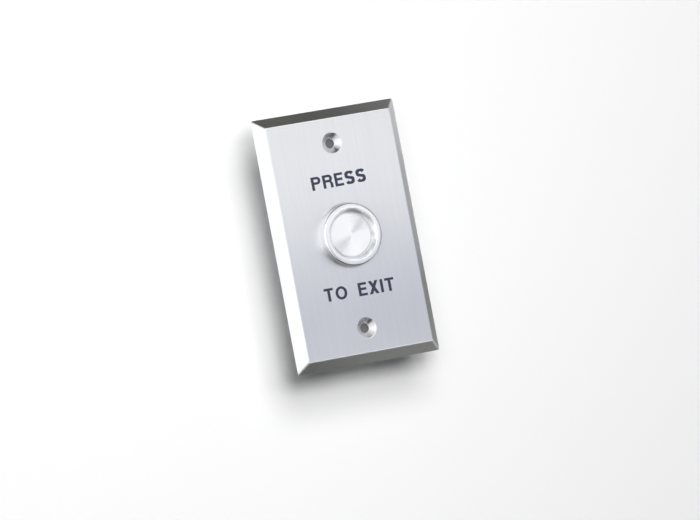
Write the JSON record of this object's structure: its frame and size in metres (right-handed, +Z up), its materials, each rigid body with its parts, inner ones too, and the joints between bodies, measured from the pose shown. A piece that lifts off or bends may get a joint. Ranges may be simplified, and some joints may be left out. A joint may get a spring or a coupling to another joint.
{
  "type": "door exit button",
  "caption": "Press-to-exit button: stainless single-gang wall plate with bevelled edges and a sprung round push-button with changeover contacts.",
  "frame": {"origin": "on the button's axis, in the plane where the plate's rim meets the wall", "axes": "+Z up along the plate's length, +X across the plate to the viewer's right, +Y into the wall"},
  "size_m": [0.0698, 0.0385, 0.1142],
  "materials": {
    "brushed_stainless": "satin",
    "turned_stainless": "satin",
    "zinc_plated_steel": "satin",
    "spring_steel": "satin",
    "nitrile_rubber": "matte",
    "bush_brass": "satin",
    "contact_brass": "satin",
    "contact_silver": "satin",
    "case_plastic": "matte",
    "plunger_plastic": "matte"
  },
  "bodies": {
    "plate_assembly": {"faceplate": "brushed_stainless", "button_housing": "turned_stainless", "panel_gasket": "nitrile_rubber", "lock_washer": "zinc_plated_steel", "lock_nut": "zinc_plated_steel", "return_spring": "spring_steel", "guide_bush": "bush_brass", "stem_seal_ring": "nitrile_rubber", "bush_retaining_ring": "spring_steel", "contact_case": "case_plastic", "terminal_base": "case_plastic", "nc_contact_left": "contact_brass", "nc_contact_right": "contact_brass", "no_contact_left": "contact_brass", "no_contact_right": "contact_brass", "fixed_contact_tips": "contact_silver", "clamp_washers": "zinc_plated_steel", "terminal_screws": "zinc_plated_steel"},
    "button": {"button_cap": "turned_stainless", "cap_seal_ring": "nitrile_rubber", "plunger": "plunger_plastic", "plunger_screw": "zinc_plated_steel", "bridge_contact": "contact_brass", "bridge_contact_tips": "contact_silver", "contact_spring": "spring_steel"}
  },
  "joints": [
    {"name": "button_press", "type": "slide", "parent": "plate_assembly", "child": "button", "axis": [0, 1, 0], "range_m": [0, 0.002], "stiffness_N_per_m": 900, "springref_m": -0.003, "deforming": ["return_spring"]}
  ]
}
